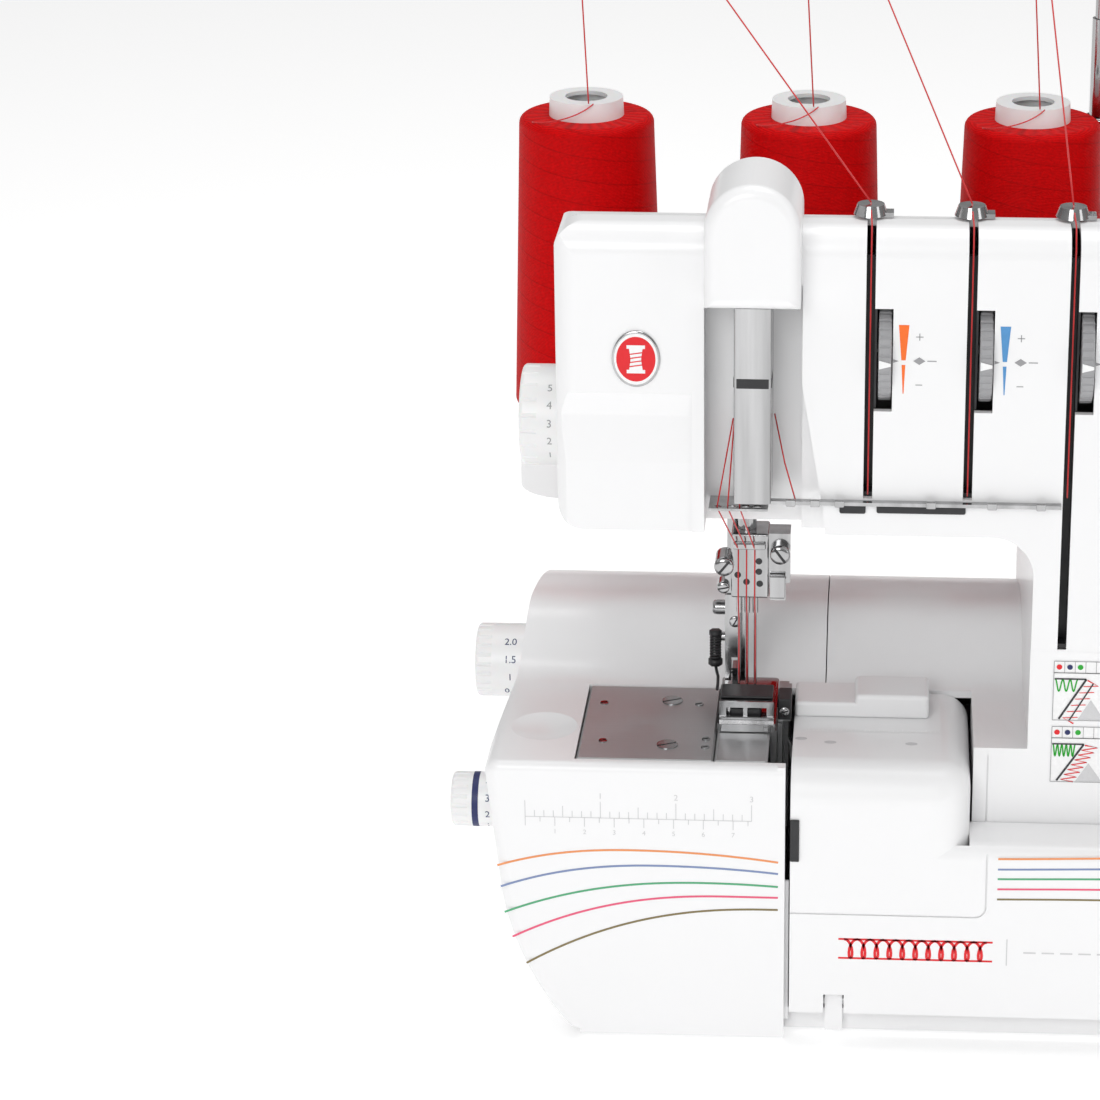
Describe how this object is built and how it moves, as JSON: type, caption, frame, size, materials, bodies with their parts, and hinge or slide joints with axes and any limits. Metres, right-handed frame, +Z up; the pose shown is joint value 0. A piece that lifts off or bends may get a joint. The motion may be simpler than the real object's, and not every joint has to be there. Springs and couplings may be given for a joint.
{
  "type": "serger overlock machine",
  "caption": "Domestic serger with tension slots along a curved head, a needle bar and presser foot over steel plates, a hinged looper cover and a rear stand for thread cones.",
  "frame": {"origin": "centre of the bounding box in X and Y, on the table plane under the rubber feet", "axes": "+X to the right along the head, +Y from the user to the back, +Z up"},
  "size_m": [0.3991, 0.2519, 0.3996],
  "materials": {
    "white_casing": "glossy white moulded casing",
    "white_part": "white moulded dials and tubes",
    "black_plastic": "black moulded plastic",
    "grey_plastic": "grey moulded plastic",
    "chrome": "polished chrome plate",
    "steel": "brushed or ground steel",
    "cast": "cast aluminium, hidden inside",
    "rubber": "black rubber",
    "thread": "red spun sewing thread"
  },
  "bodies": {
    "machine": {"base_pan": "white_casing", "cover_hinge_pins": "steel", "rubber_feet": "rubber", "bed_cover": "white_casing", "base_housing": "white_casing", "column_housing": "white_casing", "face_cover": "white_casing", "tension_cover": "white_casing", "head_shell": "white_casing", "slot_liners": "black_plastic", "take_up_cap": "white_casing", "take_up_channel": "chrome", "thread_rail": "chrome", "top_thread_guides": "chrome", "power_inlet": "black_plastic", "machine_frame": "cast", "plate_screws": "chrome", "bed_plate": "steel", "needle_plate": "steel", "lower_knife": "steel", "motor": "cast", "drive_belt": "rubber", "tension_axle": "steel", "spool_stand": "white_casing", "spool_pins": "grey_plastic", "cone_holders": "black_plastic", "cone_tubes": "white_part", "thread_cones": "thread", "pole_outer": "chrome"},
    "pole_middle_tube": {"pole_middle": "chrome"},
    "pole_top": {"pole_inner": "chrome", "guide_bar": "chrome", "guide_loops": "chrome", "sewing_threads": "thread"},
    "handwheel_set": {"handwheel": "white_part", "main_shaft": "steel"},
    "motor_rotor": {"motor_pulley": "steel"},
    "needle_bar_set": {"needle_bar": "chrome", "needle_clamp": "chrome", "needles": "chrome"},
    "moving_knife": {"upper_knife": "steel"},
    "upper_looper_arm": {"upper_looper": "steel"},
    "lower_looper_arm": {"lower_looper": "steel"},
    "feed": {"feed_dogs": "steel"},
    "presser_set": {"presser_bar": "chrome", "presser_ankle": "chrome"},
    "presser_sole": {"foot_sole": "chrome"},
    "lifting_lever": {"foot_lifter": "black_plastic"},
    "looper_cover": {"front_cover": "white_casing", "knife_guard": "white_casing", "cover_latch": "black_plastic"},
    "stitch_length": {"stitch_length_dial": "white_part"},
    "differential": {"differential_dial": "white_part"},
    "foot_pressure": {"pressure_dial": "white_part"},
    "rocker": {"power_switch": "black_plastic"},
    "wheel_1": {"tension_wheel_1": "grey_plastic"},
    "wheel_2": {"tension_wheel_2": "grey_plastic"},
    "wheel_3": {"tension_wheel_3": "grey_plastic"},
    "wheel_4": {"tension_wheel_4": "grey_plastic"},
    "wheel_5": {"tension_wheel_5": "grey_plastic"}
  },
  "joints": [
    {"name": "handwheel_turn", "type": "hinge", "parent": "machine", "child": "handwheel_set", "pos_m": [0.1274, -0.0175, 0.088], "axis": [1, 0, 0], "continuous": true},
    {"name": "motor_turn", "type": "hinge", "parent": "machine", "child": "motor_rotor", "pos_m": [0.0744, 0.0295, 0.048], "axis": [1, 0, 0], "continuous": true},
    {"name": "needle_bar_slide", "type": "slide", "parent": "machine", "child": "needle_bar_set", "axis": [0, 0, 1], "range_m": [-0.027, 0]},
    {"name": "knife_slide", "type": "slide", "parent": "machine", "child": "moving_knife", "axis": [0, 0, 1], "range_m": [-0.007, 0]},
    {"name": "upper_looper_swing", "type": "hinge", "parent": "machine", "child": "upper_looper_arm", "pos_m": [-0.0596, -0.0795, 0.048], "axis": [0, 1, 0], "range_deg": [0, 12]},
    {"name": "lower_looper_swing", "type": "hinge", "parent": "machine", "child": "lower_looper_arm", "pos_m": [-0.1376, -0.0705, 0.044], "axis": [0, 1, 0], "range_deg": [0, 6.2]},
    {"name": "feed_slide", "type": "slide", "parent": "machine", "child": "feed", "axis": [0, 1, 0], "range_m": [-0.003, 0]},
    {"name": "presser_lift", "type": "slide", "parent": "machine", "child": "presser_set", "axis": [0, 0, 1], "range_m": [0, 0.006]},
    {"name": "sole_tilt", "type": "hinge", "parent": "presser_set", "child": "presser_sole", "pos_m": [-0.1021, -0.0635, 0.113], "axis": [1, 0, 0], "range_deg": [-7.2, 0]},
    {"name": "lifter_turn", "type": "hinge", "parent": "machine", "child": "lifting_lever", "pos_m": [-0.1256, -0.0055, 0.215], "axis": [0, 1, 0], "range_deg": [0, 56]},
    {"name": "looper_cover_tilt", "type": "hinge", "parent": "machine", "child": "looper_cover", "pos_m": [0.0164, -0.1205, 0.016], "axis": [1, 0, 0], "range_deg": [0, 75]},
    {"name": "tension_wheel_1_turn", "type": "hinge", "parent": "machine", "child": "wheel_1", "pos_m": [-0.0519, -0.09475, 0.243], "axis": [1, 0, 0], "range_deg": [-135, 135]},
    {"name": "tension_wheel_2_turn", "type": "hinge", "parent": "machine", "child": "wheel_2", "pos_m": [-0.0192, -0.09475, 0.243], "axis": [1, 0, 0], "range_deg": [-135, 135]},
    {"name": "tension_wheel_3_turn", "type": "hinge", "parent": "machine", "child": "wheel_3", "pos_m": [0.0135, -0.09475, 0.243], "axis": [1, 0, 0], "range_deg": [-135, 135]},
    {"name": "tension_wheel_4_turn", "type": "hinge", "parent": "machine", "child": "wheel_4", "pos_m": [0.0462, -0.09475, 0.243], "axis": [1, 0, 0], "range_deg": [-135, 135]},
    {"name": "tension_wheel_5_turn", "type": "hinge", "parent": "machine", "child": "wheel_5", "pos_m": [0.0789, -0.09475, 0.243], "axis": [1, 0, 0], "range_deg": [-135, 135]},
    {"name": "stitch_length_turn", "type": "hinge", "parent": "machine", "child": "stitch_length", "pos_m": [-0.1906, -0.0855, 0.072], "axis": [1, 0, 0], "range_deg": [-120, 120]},
    {"name": "differential_turn", "type": "hinge", "parent": "machine", "child": "differential", "pos_m": [-0.1906, -0.0055, 0.09], "axis": [1, 0, 0], "range_deg": [-120, 120]},
    {"name": "foot_pressure_turn", "type": "hinge", "parent": "machine", "child": "foot_pressure", "pos_m": [-0.1666, -0.0555, 0.204], "axis": [1, 0, 0], "range_deg": [-150, 150]},
    {"name": "power_rocker_tilt", "type": "hinge", "parent": "machine", "child": "rocker", "pos_m": [0.1114, 0.044, 0.074], "axis": [0, 1, 0], "range_deg": [-8, 8]},
    {"name": "pole_lower_slide", "type": "slide", "parent": "machine", "child": "pole_middle_tube", "axis": [0, 0, 1], "range_m": [-0.036, 0]},
    {"name": "pole_upper_slide", "type": "slide", "parent": "pole_middle_tube", "child": "pole_top", "axis": [0, 0, 1], "range_m": [-0.045, 0], "deforming": ["sewing_threads"]}
  ],
  "couplings": [
    {"joint": "motor_turn", "follows": "handwheel_turn", "ratio": 4.25},
    {"joint": "knife_slide", "follows": "needle_bar_slide", "ratio": 0.2592},
    {"joint": "upper_looper_swing", "follows": "needle_bar_slide", "rad_per_m": -7.5},
    {"joint": "lower_looper_swing", "follows": "needle_bar_slide", "rad_per_m": -3.88},
    {"joint": "feed_slide", "follows": "needle_bar_slide", "ratio": 0.111},
    {"joint": "sole_tilt", "follows": "presser_lift", "rad_per_m": -20.4},
    {"joint": "lifter_turn", "follows": "presser_lift", "rad_per_m": 160},
    {"joint": "pole_lower_slide", "follows": "pole_upper_slide", "ratio": 0.8}
  ]
}
